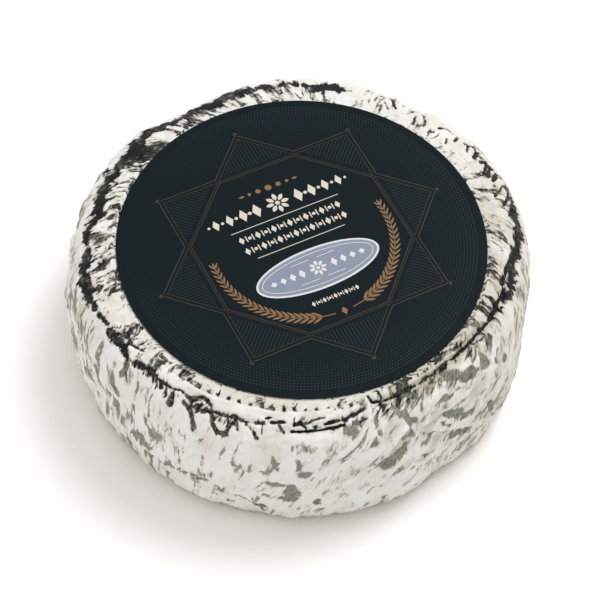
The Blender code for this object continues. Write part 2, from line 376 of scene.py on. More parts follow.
# The print's parts, in mm from its middle. Lines are given by how far inside they run, and their width.
STAR_RADIUS = 53.5  # the eight-pointed star that frames the print
STAR_HOLLOW = STAR_RADIUS * math.cos(math.radians(45)) / math.cos(math.radians(22.5))
STAR_LINES = ((0.0, 0.34), (1.3, 0.2))
OCTAGON_LINES = ((1.3, 0.22), (2.2, 0.3))
TIP_RADIUS = 0.95
HATCH_PITCH, HATCH_WIDTH, HATCH_MARGIN, SHORTEST_HATCH = 1.25, 0.2, 2.2, 0.8
DOT_PITCH, DOT_RADIUS, SMALLEST_DOT = 1.15, 0.24, 0.07
DOT_OUTER_RADIUS, DOT_INNER_RADIUS = 61.4, 40
FAINT_DOTS = (175, 38)  # the angle on the wheel where the dots are small, and the half-width of that stretch
WREATH_RADIUS = 32.5
LEAF_LENGTH, LEAF_WIDTH, LEAF_LEAN = 4.4, 0.95, 0.55
BEADS_HEIGHT = 26.8  # the copper beads at the top
BEADS = ((0, 1.25), (4, 0.95), (7.4, 0.65))
TOP_ROW = 19.2  # the row of large lozenges with a rosette
TOP_ROW_SIZES = (1, 0.92, 0.84, 0.76)
BEAD_ROWS = ((9.4, 3.3, 46), (4.3, 3.3, 38), (-25.6, 2.2, 20))
RULES = ((13.4, 21), (0.2, 17))  # fine lines between the rows
RULE_WIDTH = 0.28
PLAQUE_MIDDLE, PLAQUE_HALF_WIDTH, PLAQUE_HALF_HEIGHT = -12.5, 23.5, 8.8
PLAQUE_EDGE, PLAQUE_LINE = 0.8, 2.2
PLAQUE_LINE_WIDTH = 0.25

# The camera, from the label's edge in the photograph, with its angles in degrees
CAMERA_DISTANCE = 725.4 * MM
CAMERA_ELEVATION = 53.09
CAMERA_ROLL = 2.37
CAMERA_ANGLE = 16.46
LABEL_CENTRE = Vector((0, 0, 54.7 * MM))
CAMERA_AIM = Vector((0.15, -16.3, 42.5)) * MM

# The lamps: name, place, width across, watts and colour
LAMPS = (
    ("window", (0.42, 0.38, 1.0), 0.7, 9.3, "fbfcff"),
    ("front panel", (0, -1.1, 0.2), 0.6, 1.2, "ffffff"),
    ("left panel", (-1.1, -0.2, 0.2), 0.6, 2.0, "ffffff"),
)


def colour(code):
    """A colour given as sRGB hex digits, in the linear values that shaders take."""
    channels = []
    for start in (0, 2, 4):
        value = int(code[start : start + 2], 16) / 255
        channels.append(value / 12.92 if value <= 0.04045 else ((value + 0.055) / 1.055) ** 2.4)
    return (*channels, 1)


def add(tree, kind, settings=None, inputs=None):
    """Adds a node, with its settings, and each input's value or the output that it is linked to."""
    node = tree.nodes.new(kind)
    for name, value in (settings or {}).items():
        setattr(node, name, value)
    for name, value in (inputs or {}).items():
        if isinstance(value, bpy.types.NodeSocket):
            tree.links.new(value, node.inputs[name])
        else:
            node.inputs[name].default_value = value
    return node


def new_material(name, code, roughness, ior):
    """A material with one colour, and its node tree and shader for more."""
    material = bpy.data.materials.new(name)
    material.use_nodes = True
    tree = material.node_tree
    shader = tree.nodes["Principled BSDF"]
    shader.inputs["Base Color"].default_value = colour(code)
    shader.inputs["Roughness"].default_value = roughness
    shader.inputs["IOR"].default_value = ior
    return material, tree, shader


def place(name, mesh, material, slot=None, soft=True):
    """The mesh as a piece of the object that rides on its only body."""
    thing = bpy.data.objects.new(name, mesh)
    bpy.context.scene.collection.objects.link(thing)
    mesh.materials.append(material)
    if soft:
        mesh.shade_smooth()
    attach(thing, "root")
    return thing


# The rind's form


def smooth(value, low, high):
    """0 up to low, 1 from high on, and an even curve in between."""
    share = np.clip((value - low) / (high - low), 0, 1)
    return share * share * (3 - 2 * share)


def bell(value, half_width):
    """1 at 0, falling off smoothly to about a third at the half-width."""
    return np.exp(-((value / half_width) ** 2))


def turn_between(angle, other):
    """The angle from other to angle, in degrees, from -180 to 180."""
    return (angle - other + 180) % 360 - 180


def near(angle, stretch):
    """1 at the middle of a stretch of the wheel, falling off to about a third at its half-width."""
    middle, half_width = stretch
    return bell(turn_between(angle, middle), half_width)


def spaced(low, high, count, closeness):
    """This many places from low to high, closer together where the closeness is greater."""
    fine = np.linspace(low, high, 2001)
    weight = closeness(fine)
    run = np.concatenate(([0], np.cumsum((weight[1:] + weight[:-1]) / 2)))
    return np.interp(np.linspace(0, run[-1], count), run, fine)


def closer_in_sight(angle):
    """How close together the rind's columns of points are: most at the front, and least at the back."""
    return 1 + 1.4 * bell(turn_between(angle, -65), 75) + 0.5 * bell(turn_between(angle, 40), 30)


def closer_on_top(drop):
    """How close together the rind's rows of points are: most beside the label and over the shoulder."""
    return 1 + 1.3 * smooth(28 * MM - drop, 0, 14 * MM)


def rounded_corner(squareness):
    """How far out and how far up a rounded corner runs, as shares, from its inner end to its outer one."""
    turn = np.linspace(0, math.pi / 2, 401)
    return np.sin(turn) ** (2 / squareness), np.clip(np.cos(turn), 0, 1) ** (2 / squareness)


def wall_outline():
    """Radius, height and drop of points from the seat's edge, over the shoulder and down to the base."""
    out, up = rounded_corner(SHOULDER_SQUARENESS)
    shoulder_radius = SEAT_RADIUS + (WIDEST_RADIUS - SEAT_RADIUS) * out
    shoulder_height = WIDEST_HEIGHT + (HEIGHT - WIDEST_HEIGHT) * up
    out, up = rounded_corner(FOOT_SQUARENESS)
    foot_radius = BASE_RADIUS + (WIDEST_RADIUS - BASE_RADIUS) * out
    foot_height = WIDEST_HEIGHT - WIDEST_HEIGHT * up
    radius = np.concatenate((shoulder_radius, foot_radius[-2::-1]))
    height = np.concatenate((shoulder_height, foot_height[-2::-1]))
    travelled = np.concatenate(([0], np.cumsum(np.hypot(np.diff(radius), np.diff(height)))))
    drop = spaced(0, travelled[-1], ROWS + 1, closer_on_top)
    return np.interp(drop, travelled, radius), np.interp(drop, travelled, height), drop


def out_of_round(angle):
    """How far the swells stand out at the wheel's widest, in metres."""
    return sum(height * bell(turn_between(angle, place), width) for place, width, height in SWELLS)


def read_noise(angle, drop, width, length, lean=FOLD_LEAN, seed=0.0):
    """Noise over the wall, from about -1 to 1, whose lumps have this width and length and meet all round."""
    turn = np.radians(angle) + lean * drop / WIDEST_RADIUS
    around = WIDEST_RADIUS / width
    x = np.cos(turn) * around
    y = np.sin(turn) * around
    z = drop / length + seed
    x, y, z = np.broadcast_arrays(x, y, z)
    values = [noise.noise(point) for point in zip(x.flat, y.flat, z.flat)]
    return np.array(values).reshape(x.shape)


def away_from(route, angle, drop):
    """The distance from a route of angles and drops in mm. The distance is in metres."""
    nearest = None
    for (a0, d0), (a1, d1) in zip(route, route[1:]):
        across = np.radians(turn_between(angle, a0)) * WIDEST_RADIUS
        down = drop - d0 * MM
        run_across = math.radians(a1 - a0) * WIDEST_RADIUS
        run_down = (d1 - d0) * MM
        share = (across * run_across + down * run_down) / (run_across**2 + run_down**2)
        share = np.clip(share, 0, 1)
        away = np.hypot(across - run_across * share, down - run_down * share)
        nearest = away if nearest is None else np.minimum(nearest, away)
    return nearest


def crease_depth(angle, drop):
    """How deep the creases are, in metres. A ridge counts as below 0."""
    return sum(
        depth * bell(away_from(route, angle, drop), half_width) for half_width, depth, route in CREASES
    )


def large_relief(angle, drop):
    """How far the lumps, folds, crags, rim and creases of the solids stand out."""
    on_wall = smooth(drop, 8 * MM, 22 * MM)
    lumps = LUMP_HEIGHT * (0.35 + 0.65 * on_wall) * read_noise(angle, drop, LUMP_SIZE, LUMP_SIZE)
    folds = FOLD_HEIGHT * (0.3 + 0.7 * on_wall) * read_noise(angle, drop, FOLD_WIDTH, FOLD_LENGTH)
    crags = CRAG_HEIGHT * read_noise(angle, drop, CRAG_SIZE, CRAG_SIZE)
    crags *= bell(drop - CRAG_PLACE, CRAG_HALF_WIDTH)
    rim = RIM_HEIGHT * bell(drop - RIM_PLACE, RIM_HALF_WIDTH)
    return lumps + folds + crags + rim - crease_depth(angle, drop)


def mat_print(angle, drop):
    """The drainage mat's print round the top face: 1 on its pads, 0 in the gaps, which widen outwards."""
    pads = round(2 * math.pi * SEAT_RADIUS / PAD_PITCH)
    place = angle * pads / 360 + 0.2 * read_noise(angle, drop, 9 * MM, 9 * MM, seed=3.3)
    from_gap = np.abs((place + 0.5) % 1 - 0.5) * PAD_PITCH
    gap = 0.2 * MM + 0.22 * drop
    return smooth(from_gap, gap * 0.5, gap * 1.3) * smooth(PAD_BAND - drop, 0, 1 * MM)


def ridge_field(angle, drop):
    """How high the thin ridges are, as a share of their height."""
    stray = STROKE_STRAY * read_noise(angle, drop, 4 * MM, 4 * MM, seed=8.2)
    ridges = [bell(away_from(route, angle, drop + stray), width * MM) for width, route in RIDGES]
    return np.maximum.reduce(ridges)


# The rind's ash and mould


def round_the_wheel(table, angle):
    """The table's columns at each angle, with an even run between its rows."""
    rows = sorted((row[0] % 360, *row[1:]) for row in table)
    places = [row[0] for row in rows]
    return [
        np.interp(angle % 360, places, [row[column] for row in rows], period=360)
        for column in range(1, len(rows[0]))
    ]


def ring_field(angle, drop):
    """How much ash the ragged ring shows."""
    centre, half_width, shows = round_the_wheel(RING, angle)
    stray = RING_STRAY * read_noise(angle, drop, 7 * MM, 9 * MM, lean=0.9, seed=7.3)
    stray += RING_FINE_STRAY * read_noise(angle, drop, 2.6 * MM, 5 * MM, lean=1.2, seed=1.9)
    return shows * bell(drop - centre * MM + stray, half_width * MM * RING_SOFTNESS)


def thin_mould_field(angle, drop):
    """How much ash shows through thin mould: on the wall, beside the label, and between the mat's pads."""
    (on_wall,) = round_the_wheel(THIN_MOULD, angle)
    (on_top,) = round_the_wheel(THIN_ON_TOP, angle)
    out_of_sight = 1 - bell(turn_between(angle, -80), 80)
    uneven = 0.2 * out_of_sight * read_noise(angle, drop, 20 * MM, 24 * MM, seed=4.9)
    on_wall = (on_wall + uneven) * smooth(drop, 9 * MM, 16 * MM)
    on_top = on_top * smooth(13 * MM - drop, 0, 5 * MM)
    gaps = (1 - mat_print(angle, drop)) * bell(drop - 2.3 * MM, 0.9 * MM)
    on_top = on_top + 0.62 * gaps * near(angle, MAT_PRINT_ASH)
    return np.maximum(on_wall, on_top)


def patch_field(angle, drop):
    """How much ash the bare patches show, and how black it is."""
    stray_across = PATCH_STRAY * read_noise(angle, drop, 3.6 * MM, 5 * MM, seed=2.7)
    stray_along = PATCH_STRAY * read_noise(angle, drop, 3.6 * MM, 5 * MM, seed=4.4)
    shown, blackness = np.zeros_like(angle), np.zeros_like(angle)
    for place, down, half_width, half_length, lean, shows, black in PATCHES:
        across = np.radians(turn_between(angle, place)) * WIDEST_RADIUS + stray_across
        along = drop - down * MM + stray_along
        tilt = math.radians(lean)
        beside = (across * math.cos(tilt) - along * math.sin(tilt)) / (half_width * MM)
        below = (across * math.sin(tilt) + along * math.cos(tilt)) / (half_length * MM)
        patch = shows * np.exp(-((beside**2 + below**2) ** 1.5) * 0.5)
        blackness = np.where(patch > shown, black, blackness)
        shown = np.maximum(shown, patch)
    return shown, blackness


def stroke_field(angle, drop):
    """How much the strokes show, of ash and of painted shade in creases, and how black it is."""
    stray = STROKE_STRAY * read_noise(angle, drop, 4 * MM, 4 * MM, seed=9.1)
    shown, blackness = np.zeros_like(angle), np.zeros_like(angle)
    for shows, black, half_width, route in STROKES:
        stroke = shows * bell(away_from(route, angle, drop + stray), half_width * MM)
        blackness = np.where(stroke > shown, black, blackness)
        shown = np.maximum(shown, stroke)
    return shown, blackness


def ash_fields(angle, drop):
    """How much ash shows, with painted shade in creases and a painted highlight on ridges, where a half is
    the edge of a bare patch, and how black it is.
    """
    ring = ring_field(angle, drop)
    ash = np.maximum(thin_mould_field(angle, drop), ring)
    # blackest in the ring, and mottled
    black = smooth(ring, 0.12, 0.4) * smooth(24 * MM - drop, 0, 8 * MM)
    black = np.maximum(black, smooth(12 * MM - drop, 0, 6 * MM) * 0.7)
    black *= 1.25 - 0.45 * smooth(read_noise(angle, drop, 4 * MM, 5 * MM, seed=5.5), -0.05, 0.4)
    for shown, blackness in (patch_field(angle, drop), stroke_field(angle, drop)):
        black = np.where(shown > ash, blackness, black)
        ash = np.maximum(ash, shown)
    # the ridges take the ash off their mould: a painted highlight along them
    return ash - 0.35 * ridge_field(angle, drop), black


def ragged_field(angle, black):
    """How far bare marks are rags and not streaks: where they are black, and at the front right."""
    return 0.75 * np.maximum(np.minimum(black, 1), near(angle, RAGGED_FRONT_RIGHT))


def beige_field(angle, drop):
    """How beige the mould is: on the mat's pads at the front, and in stains beside the label."""
    pads = mat_print(angle, drop) * near(angle, MAT_PRINT_BEIGE)
    stains = read_noise(angle, drop, 4 * MM, 7 * MM, lean=1.0, seed=6.2)
    stains = smooth(stains, 0, 0.5) * smooth(14 * MM - drop, 0, 8 * MM)
    stains *= 1 - 0.8 * near(angle, CLEAN_BACK)
    return np.maximum(pads, 0.65 * stains)


def painted_shade_field(angle, drop):
    """How much painted shade greys the mould without making it bare: at the right side, beside the crevice,
    and in the crinkles at the front right.
    """
    # painted shade on the right side of the wheel
    painted_shade = 0.36 * near(angle, PAINTED_SHADE_RIGHT)
    painted_shade *= 1 + 0.9 * read_noise(angle, drop, 6 * MM, 9 * MM, lean=0.9, seed=12.6)
    # painted shade of the crinkles at the front right
    crinkle_shade = smooth(read_noise(angle, drop, 6 * MM, 7 * MM, lean=0.9, seed=13.8), 0.0, 0.45)
    painted_shade += 0.5 * crinkle_shade * near(angle, PAINTED_CRINKLE_SHADE_FRONT_RIGHT) * smooth(42 * MM - drop, 0, 10 * MM)
    # painted shade beside the crevice
    painted_shade += 0.5 * near(angle, PAINTED_SHADE_AT_CREVICE) * smooth(9 * MM - drop, 0, 4 * MM)
    return painted_shade


def painted_foot_shade_field(angle, drop):
    """1 on the foot, where painted shade darkens the rind as it curves under, with a wavering edge."""
    waver = 2.2 * MM * read_noise(angle, drop, 8 * MM, 8 * MM, seed=1.4)
    return smooth(drop + waver, 57 * MM, 61 * MM)


def rind_relief(angle, drop, ash):
    """How far the rind stands out from the wheel's even form, the large relief and the fine together."""
    relief = large_relief(angle, drop)
    relief += WRINKLE_HEIGHT * read_noise(angle, drop, WRINKLE_WIDTH, WRINKLE_LENGTH, seed=3.1)
    relief += GRAIN_HEIGHT * read_noise(angle, drop, GRAIN_SIZE, GRAIN_SIZE, seed=5.7)
    relief -= ASH_SINK * smooth(ash, 0.35, 0.6)
    relief -= STROKE_DEPTH * stroke_field(angle, drop)[0]
    relief += RIDGE_HEIGHT * ridge_field(angle, drop)
    relief *= smooth(drop, 0, SEAT_FADE)
    relief += PAD_HEIGHT * (mat_print(angle, drop) - 1) * (drop < PAD_BAND)
    relief *= smooth(drop[-1] - drop, 0, FOOT_FADE)
    relief[0] = 0  # the seat's edge stays even
    return relief


def streak_places(angle, drop):
    """Each point's place on an even drum, turned a little, so that streaks lean and swing."""
    turn = np.radians(angle)
    lean = STREAK_LEAN * np.cos(turn + math.radians(30)) * drop
    lean += STREAK_WANDER * read_noise(angle, drop, 17 * MM, 15 * MM, lean=0, seed=11.3)
    leant = turn + lean / WIDEST_RADIUS
    return np.stack((np.cos(leant) * WIDEST_RADIUS, np.sin(leant) * WIDEST_RADIUS, drop), axis=-1)


def make_rind(material):
    """The rind as a fine mesh in place of the solid wheel, with its colours' fields at its points."""
    radius, height, drops = wall_outline()
    out_r = -np.gradient(height, drops)
    out_z = np.gradient(radius, drops)
    angle, drop = np.meshgrid(spaced(0, 360, COLUMNS + 1, closer_in_sight)[:-1], drops)
    ash, black = ash_fields(angle, drop)
    relief = rind_relief(angle, drop, ash)
    share_out = ((radius - SEAT_RADIUS) / (WIDEST_RADIUS - SEAT_RADIUS))[:, None]
    here_r = radius[:, None] + out_of_round(angle) * share_out + out_r[:, None] * relief
    here_z = height[:, None] + out_z[:, None] * relief
    turn = np.radians(angle)
    points = np.stack((here_r * np.cos(turn), here_r * np.sin(turn), here_z), axis=-1).reshape(-1, 3)

    faces = []
    for row in range(ROWS):
        for column in range(COLUMNS):
            after = (column + 1) % COLUMNS
            upper, lower = row * COLUMNS, (row + 1) * COLUMNS
            faces.append((upper + column, lower + column, lower + after, upper + after))
    faces.append(tuple(range(COLUMNS)))
    faces.append(tuple(reversed(range(ROWS * COLUMNS, (ROWS + 1) * COLUMNS))))
    mesh = bpy.data.meshes.new("rind")
    mesh.from_pydata(points.tolist(), [], faces)

    drum = streak_places(angle, drop)
    mesh.attributes.new("drum", "FLOAT_VECTOR", "POINT").data.foreach_set("vector", drum.ravel())
    # besides ash, these fields hold painted shade in the strokes in creases, in the greyer mould and on the
    # foot, and a painted highlight along the ridges
    fields = (
        ("ash", ash),
        ("black", black),
        ("ragged", ragged_field(angle, black)),
        ("beige", beige_field(angle, drop)),
        ("painted_shade", painted_shade_field(angle, drop)),
        ("foot", painted_foot_shade_field(angle, drop)),
    )
    for name, field in fields:
        mesh.attributes.new(name, "FLOAT", "POINT").data.foreach_set("value", field.ravel())
    rind = place("rind", mesh, material, "rind")
    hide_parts("wheel")


def rind_material():
    """Bloomy rind: a felt of white mould grown over grey ash, and patted down by hand.

    The felt is matt and a little warm, with a faint sheen where it was pressed flat. Where it is thin or
    worn off, the ash shows olive-grey, and black where it lies thick on the shoulder. Painted shade greys the
    mould at the right, beside the crevice and in the crinkles at the front right, and darkens its foot.
    """
    material, tree, shader = new_material("bloomy rind", "e9e6de", 0.55, 1.45)
    drum = add(tree, "ShaderNodeAttribute", {"attribute_name": "drum"}).outputs["Vector"]
    fields = ("ash", "black", "ragged", "beige", "painted_shade", "foot")
    ash, black, ragged, beige, painted_shade, foot = [
        add(tree, "ShaderNodeAttribute", {"attribute_name": name}).outputs["Fac"] for name in fields
    ]

    # streaks, the rags in their place where marks are short, and the crinkles that the cracks follow
    long_noises = []
    for size, detail, distortion in ((STREAK_SIZE, 1.5, 0.8), (RAG_SIZE, 1.5, 1.2), (CRACK_SIZE, 2, 1.2)):
        scaled = add(tree, "ShaderNodeMapping", None, {"Vector": drum, "Scale": [1 / side for side in size]})
        settings = {"Scale": 1, "Detail": detail, "Roughness": 0.5, "Distortion": distortion}
        settings["Vector"] = scaled.outputs["Vector"]
        long_noises.append(add(tree, "ShaderNodeTexNoise", None, settings).outputs["Fac"])
    streaks, rags, crinkles = long_noises
    round_noises = []
    for size, detail, roughness in ((BLOTCH_SIZE, 2, 0.5), (FLECK_SIZE, 4, 0.65), (CLOUD_SIZE, 5, 0.6)):
        settings = {"Vector": drum, "Scale": 1 / size, "Detail": detail, "Roughness": roughness}
        round_noises.append(add(tree, "ShaderNodeTexNoise", None, settings).outputs["Fac"])
    blotches, flecks, clouds = round_noises
    grown = add(tree, "ShaderNodeMix", None, {0: ragged, 2: streaks, 3: rags})

    # fine cracks, along the middle values of the crinkles
    off_middle = add(tree, "ShaderNodeMath", {"operation": "SUBTRACT"}, {0: crinkles, 1: 0.5})
    apart = add(tree, "ShaderNodeMath", {"operation": "ABSOLUTE"}, {0: off_middle.outputs[0]})
    cracks = add(
        tree,
        "ShaderNodeMapRange",
        {"interpolation_type": "SMOOTHSTEP"},
        {"Value": apart.outputs[0], "From Min": 0.045, "From Max": 0.01},
    )

    # how bare the rind is, and how sparse the mould is round the bare marks
    moved = ash
    for pattern, share in (
        (grown.outputs[0], STREAKS_MOVE),
        (blotches, BLOTCHES_MOVE),
        (flecks, FLECKS_MOVE),
        (cracks.outputs["Result"], CRACKS_MOVE),
    ):
        more = add(tree, "ShaderNodeMath", {"operation": "MULTIPLY_ADD"}, {0: pattern, 1: share, 2: moved})
        moved = more.outputs[0]
    level = add(tree, "ShaderNodeMath", {"operation": "SUBTRACT"}, {0: moved, 1: MOVED_ON_AVERAGE})
    bare = add(
        tree,
        "ShaderNodeMapRange",
        {"interpolation_type": "SMOOTHSTEP"},
        {"Value": level.outputs[0], "From Min": 0.38, "From Max": 0.63},
    )
    sparse = add(
        tree,
        "ShaderNodeMapRange",
        {"interpolation_type": "SMOOTHSTEP"},
        {"Value": level.outputs[0], "From Min": 0.25, "From Max": 0.62, "To Max": 0.6},
    )

    # the ash: olive-grey to black, and mottled
    thick = add(tree, "ShaderNodeMath", {"operation": "MULTIPLY_ADD"}, {0: flecks, 1: 2.4, 2: -1.1})
    blackness = add(
        tree, "ShaderNodeMath", {"operation": "ADD", "use_clamp": True}, {0: thick.outputs[0], 1: black}
    )
    ash_colour = add(
        tree,
        "ShaderNodeMix",
        {"data_type": "RGBA"},
        {0: blackness.outputs[0], 6: colour("838478"), 7: colour("0b0e11")},
    )

    # the mould: white, with cream and grey clouds, and grey-beige where it is sparse or greyed by painted
    # shade
    cloud_share = add(
        tree, "ShaderNodeMapRange", None, {"Value": clouds, "From Min": 0.35, "From Max": 0.68}
    )
    thick_mould = add(
        tree,
        "ShaderNodeMix",
        {"data_type": "RGBA"},
        {0: cloud_share.outputs["Result"], 6: colour("d5d6d5"), 7: colour("cac9c4")},
    )
    sparse_and_painted_shade = add(
        tree,
        "ShaderNodeMath",
        {"operation": "ADD", "use_clamp": True},
        {0: sparse.outputs["Result"], 1: painted_shade},
    )
    beige_share = add(tree, "ShaderNodeMath", {"operation": "MULTIPLY"}, {0: beige, 1: 0.45})

    # over the thick mould: its grey-beige and painted shade, its stains, the bare ash, and the painted shade
    # on the foot
    look = thick_mould.outputs[2]
    for share, over in (
        # the sparse mould's grey-beige, which also carries the painted shade
        (sparse_and_painted_shade.outputs[0], colour("a39e8d")),
        (beige_share.outputs[0], colour("b0a78f")),
        (bare.outputs["Result"], ash_colour.outputs[2]),
        # painted shade on the foot, where the rind curves under towards the table
        (foot, colour("999283")),
    ):
        mixed = add(tree, "ShaderNodeMix", {"data_type": "RGBA"}, {0: share, 6: look, 7: over})
        look = mixed.outputs[2]
    tree.links.new(look, shader.inputs["Base Color"])
    shader.inputs["Specular IOR Level"].default_value = 0.2

    # the felt's own nap, and its step down to the ash
    relief = add(tree, "ShaderNodeMath", {"operation": "SUBTRACT"}, {0: flecks, 1: bare.outputs["Result"]})
    bump = add(
        tree, "ShaderNodeBump", None, {"Height": relief.outputs[0], "Distance": 0.25 * MM, "Strength": 0.6}
    )
    tree.links.new(bump.outputs["Normal"], shader.inputs["Normal"])
    return material


# The label


def make_label(material):
    """The label: a disc of paper with a softly cut edge, in place of the solid one."""
    shape = bmesh.new()
    rings = (
        (LABEL_RADIUS - LABEL_EDGE_ROUNDING, 0),
        (LABEL_RADIUS, LABEL_EDGE_ROUNDING),
        (LABEL_RADIUS, LABEL_THICKNESS - LABEL_EDGE_ROUNDING),
        (LABEL_RADIUS - LABEL_EDGE_ROUNDING, LABEL_THICKNESS),
    )
    sides = 360
    made = []
    for radius, height in rings:
        ring = []
        for side in range(sides):
            turn = 2 * math.pi * side / sides
            point = (radius * math.cos(turn), radius * math.sin(turn), LABEL_BOTTOM + height)
            ring.append(shape.verts.new(point))
        made.append(ring)
    for lower, upper in zip(made, made[1:]):
        for side in range(sides):
            after = (side + 1) % sides
            shape.faces.new((lower[side], lower[after], upper[after], upper[side]))
    shape.faces.new(reversed(made[0]))
    shape.faces.new(made[-1])
    mesh = bpy.data.meshes.new("label_paper")
    shape.to_mesh(mesh)
    shape.free()
    label = place("label_paper", mesh, material, "printed_paper")
    mesh.set_sharp_from_angle(angle=math.radians(35))
    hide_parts("label")


# The label's print


def lay(shape, outline):
    """Adds a flat patch of ink with this outline, which runs anticlockwise."""
    shape.faces.new([shape.verts.new((u, v, 0)) for u, v in outline])


def disc(u, v, radius, sides=20):
    """The outline of a round dot, or with few sides of a small many-sided one."""
    turns = [2 * math.pi * side / sides for side in range(sides)]
    return [(u + radius * math.cos(turn), v + radius * math.sin(turn)) for turn in turns]


def lozenge(u, v, width, height):
    """The outline of an upright lozenge."""
    return [(u + width / 2, v), (u, v + height / 2), (u - width / 2, v), (u, v - height / 2)]


def bar(u, v, width, height):
    """The outline of an upright bar."""
    return [
        (u - width / 2, v - height / 2),
        (u + width / 2, v - height / 2),
        (u + width / 2, v + height / 2),
        (u - width / 2, v + height / 2),
    ]


def leaf(u, v, direction, length, width):
    """The outline of an almond with its stalk end at u, v."""
    steps = 6
    points = []
    for step in range(steps + 1):
        points.append((length * step / steps, -width / 2 * math.sin(math.pi * step / steps) ** 0.8))
    for step in range(steps - 1, 0, -1):
        points.append((length * step / steps, width / 2 * math.sin(math.pi * step / steps) ** 0.8))
    c, s = math.cos(direction), math.sin(direction)
    return [(u + x * c - y * s, v + x * s + y * c) for x, y in points]


def oval(half_width, half_height, sides=96):
    """The outline of an oval about the plaque's middle."""
    turns = [2 * math.pi * side / sides for side in range(sides)]
    return [(half_width * math.cos(turn), PLAQUE_MIDDLE + half_height * math.sin(turn)) for turn in turns]


def lay_line(shape, path, width, closed=False):
    """Adds a line of ink along the path, mitred at its corners."""
    sides = ([], [])
    count = len(path)
    for index, (u, v) in enumerate(path):
        before = path[index - 1] if index or closed else path[0]
        after = path[(index + 1) % count] if index < count - 1 or closed else path[-1]
        into = Vector((u - before[0], v - before[1]))
        out = Vector((after[0] - u, after[1] - v))
        if before == (u, v):
            into = out.copy()
        if after == (u, v):
            out = into.copy()
        into.normalize()
        out.normalize()
        corner = into + out
        corner.normalize()
        half = width / 2 / max(corner.dot(out), 0.3)
        for side, sign in zip(sides, (1, -1)):
            side.append(shape.verts.new((u - sign * corner.y * half, v + sign * corner.x * half, 0)))
    left, right = sides
    for index in range(count if closed else count - 1):
        after = (index + 1) % count
        shape.faces.new((right[index], right[after], left[after], left[index]))


def star(inset=0.0):
    """The sixteen corners of the eight-pointed star, with its lines drawn in by the inset."""
    smaller = 1 - inset / (STAR_RADIUS * math.cos(math.radians(45)))
    points = []
    for corner in range(16):
        radius = (STAR_HOLLOW if corner % 2 else STAR_RADIUS) * smaller
        turn = math.radians(22.5 * corner)
        points.append((radius * math.cos(turn), radius * math.sin(turn)))
    return points


def in_star(u, v, margin):
    """Whether a place is in the star, which is two squares laid crosswise, or within the margin round it."""
    half_side = STAR_RADIUS * math.cos(math.radians(45)) + margin
    straight = max(abs(u), abs(v)) < half_side
    turned = (abs(u) + abs(v)) / math.sqrt(2) < half_side
    return straight or turned


def lay_frame(shape):
    """The star's double line, the octagon inside it, and a lozenge at each tip."""
    for inset, width in STAR_LINES:
        lay_line(shape, star(inset), width, closed=True)
    for inset, width in OCTAGON_LINES:
        radius = STAR_HOLLOW - inset
        eight = [math.radians(22.5 + 45 * side) for side in range(8)]
        corners = [(radius * math.cos(turn), radius * math.sin(turn)) for turn in eight]
        lay_line(shape, corners, width, closed=True)
    reach = STAR_RADIUS + 0.4
    for tip in range(8):
        turn = math.radians(45 * tip)
        lay(shape, disc(reach * math.cos(turn), reach * math.sin(turn), TIP_RADIUS, sides=4))


def lay_hatching(shape):
    """Fine lines that fill the star's eight points, from the octagon towards each tip."""
    low = STAR_HOLLOW * math.cos(math.radians(22.5)) + 0.4
    half_base = STAR_HOLLOW * math.sin(math.radians(22.5))
    tip_height = STAR_RADIUS - low
    for point in range(8):
        turn = math.radians(45 * point)
        outwards = Vector((math.cos(turn), math.sin(turn)))
        sideways = Vector((-outwards.y, outwards.x))
        lines = int(half_base / HATCH_PITCH)
        for line in range(-lines, lines + 1):
            offset = line * HATCH_PITCH
            reach = tip_height * (1 - abs(offset) / half_base) - HATCH_MARGIN
            if reach < SHORTEST_HATCH:
                continue
            start = outwards * low + sideways * offset
            end = start + outwards * reach
            lay_line(shape, [tuple(start), tuple(end)], HATCH_WIDTH)


def lay_dots(shape):
    """Halftone dots in rings inside the rim, which shrink away towards the star and on the left."""
    radius = DOT_OUTER_RADIUS
    while radius > DOT_INNER_RADIUS:
        count = round(2 * math.pi * radius / DOT_PITCH)
        for index in range(count):
            turn = 2 * math.pi * index / count
            u, v = radius * math.cos(turn), radius * math.sin(turn)
            faint = float(near(math.degrees(turn) + PRINT_TURN, FAINT_DOTS))
            fade = 1 - (DOT_OUTER_RADIUS - radius) / (DOT_OUTER_RADIUS - DOT_INNER_RADIUS + 6)
            size = DOT_RADIUS * fade * (1 - 0.75 * faint)
            if size > SMALLEST_DOT and not in_star(u, v, 0.9):
                lay(shape, disc(u, v, size, sides=6))
        radius -= DOT_PITCH


def lay_wreath(shape):
    """Two laurel sprigs that rise from the bottom, one on each side, and a row of beads at the top."""
    for side in (1, -1):
        turns = [math.radians(-90 + side * (6 + 4 * step)) for step in range(23)]
        stem = [(WREATH_RADIUS * math.cos(turn), WREATH_RADIUS * math.sin(turn)) for turn in turns]
        lay_line(shape, stem, 0.35)
        for index, turn in enumerate(turns[2:]):
            u, v = stem[index + 2]
            growing = turn + side * math.pi / 2
            size = 1 - 0.35 * index / len(turns)
            for lean in (LEAF_LEAN, -LEAF_LEAN):
                lay(shape, leaf(u, v, growing + lean, LEAF_LENGTH * size, LEAF_WIDTH * size))
        growing = turns[-1] + side * math.pi / 2
        lay(shape, leaf(*stem[-1], growing, LEAF_LENGTH * 0.7, LEAF_WIDTH * 0.7))
    lay(shape, lozenge(0, -WREATH_RADIUS, 2.2, 3.4))
    for place_along, radius in BEADS:
        for side in (1, -1) if place_along else (1,):
            lay(shape, disc(side * place_along, BEADS_HEIGHT, radius))
    for side in (1, -1):
        lay(shape, lozenge(side * 10.4, BEADS_HEIGHT, 2.4, 1.1))


